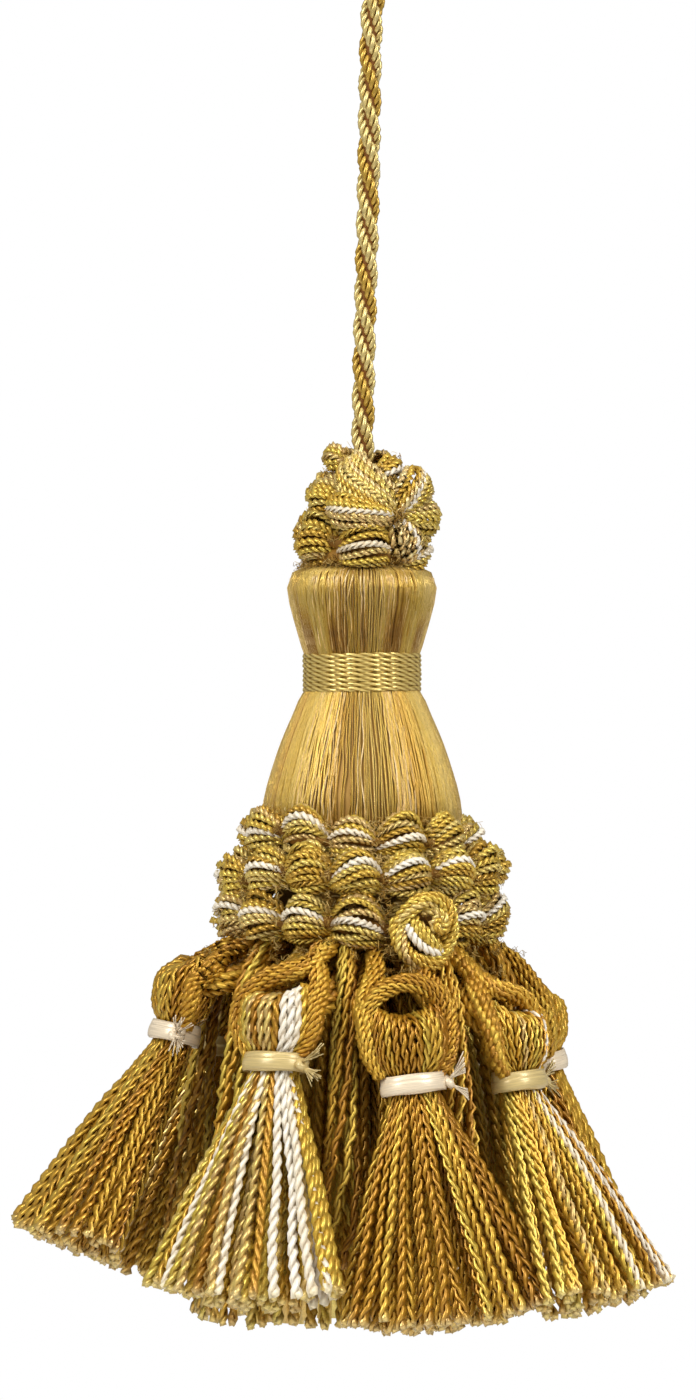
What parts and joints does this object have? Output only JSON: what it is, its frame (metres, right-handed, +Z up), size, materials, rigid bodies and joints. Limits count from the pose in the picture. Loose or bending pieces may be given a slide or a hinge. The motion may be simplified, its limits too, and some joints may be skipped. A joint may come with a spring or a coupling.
{
  "type": "silk key tassel",
  "caption": "Gold and cream silk tassel on a twisted cord, with a puffed ruff, bound neck, puffed gimp collar and a skirt of small tied tassels.",
  "frame": {"origin": "inner top of the cord's hanging loop, where a hook or knob carries it", "axes": "+Z up along the hanging tassel, -Y the front"},
  "size_m": [0.0927, 0.0836, 0.2254],
  "materials": {
    "crown_floss": "satin",
    "band_thread": "satin",
    "gimp_yarn": "satin",
    "skirt_yarn": "satin",
    "cord_silk": "satin",
    "tie_cream": "satin",
    "tie_straw": "satin"
  },
  "bodies": {
    "root": {"hanging_cord": "cord_silk", "loop_whipping": "cord_silk", "ruff_row_1": "gimp_yarn", "ruff_row_2": "gimp_yarn", "ruff_row_3": "gimp_yarn", "crown": "crown_floss", "neck_band": "band_thread", "collar_row_1": "gimp_yarn", "collar_row_2": "gimp_yarn", "collar_row_3": "gimp_yarn", "collar_knot": "gimp_yarn", "hanger_loop_1": "skirt_yarn", "small_tassel_1": "skirt_yarn", "tie_1": "tie_cream", "hanger_loop_2": "skirt_yarn", "small_tassel_2": "skirt_yarn", "tie_2": "tie_straw", "hanger_loop_3": "skirt_yarn", "small_tassel_3": "skirt_yarn", "tie_3": "tie_cream", "hanger_loop_4": "skirt_yarn", "small_tassel_4": "skirt_yarn", "tie_4": "tie_straw", "hanger_loop_5": "skirt_yarn", "small_tassel_5": "skirt_yarn", "tie_5": "tie_cream", "hanger_loop_6": "skirt_yarn", "small_tassel_6": "skirt_yarn", "tie_6": "tie_straw", "hanger_loop_7": "skirt_yarn", "small_tassel_7": "skirt_yarn", "tie_7": "tie_cream", "hanger_loop_8": "skirt_yarn", "small_tassel_8": "skirt_yarn", "tie_8": "tie_straw", "inner_skirt": "skirt_yarn"}
  },
  "joints": []
}
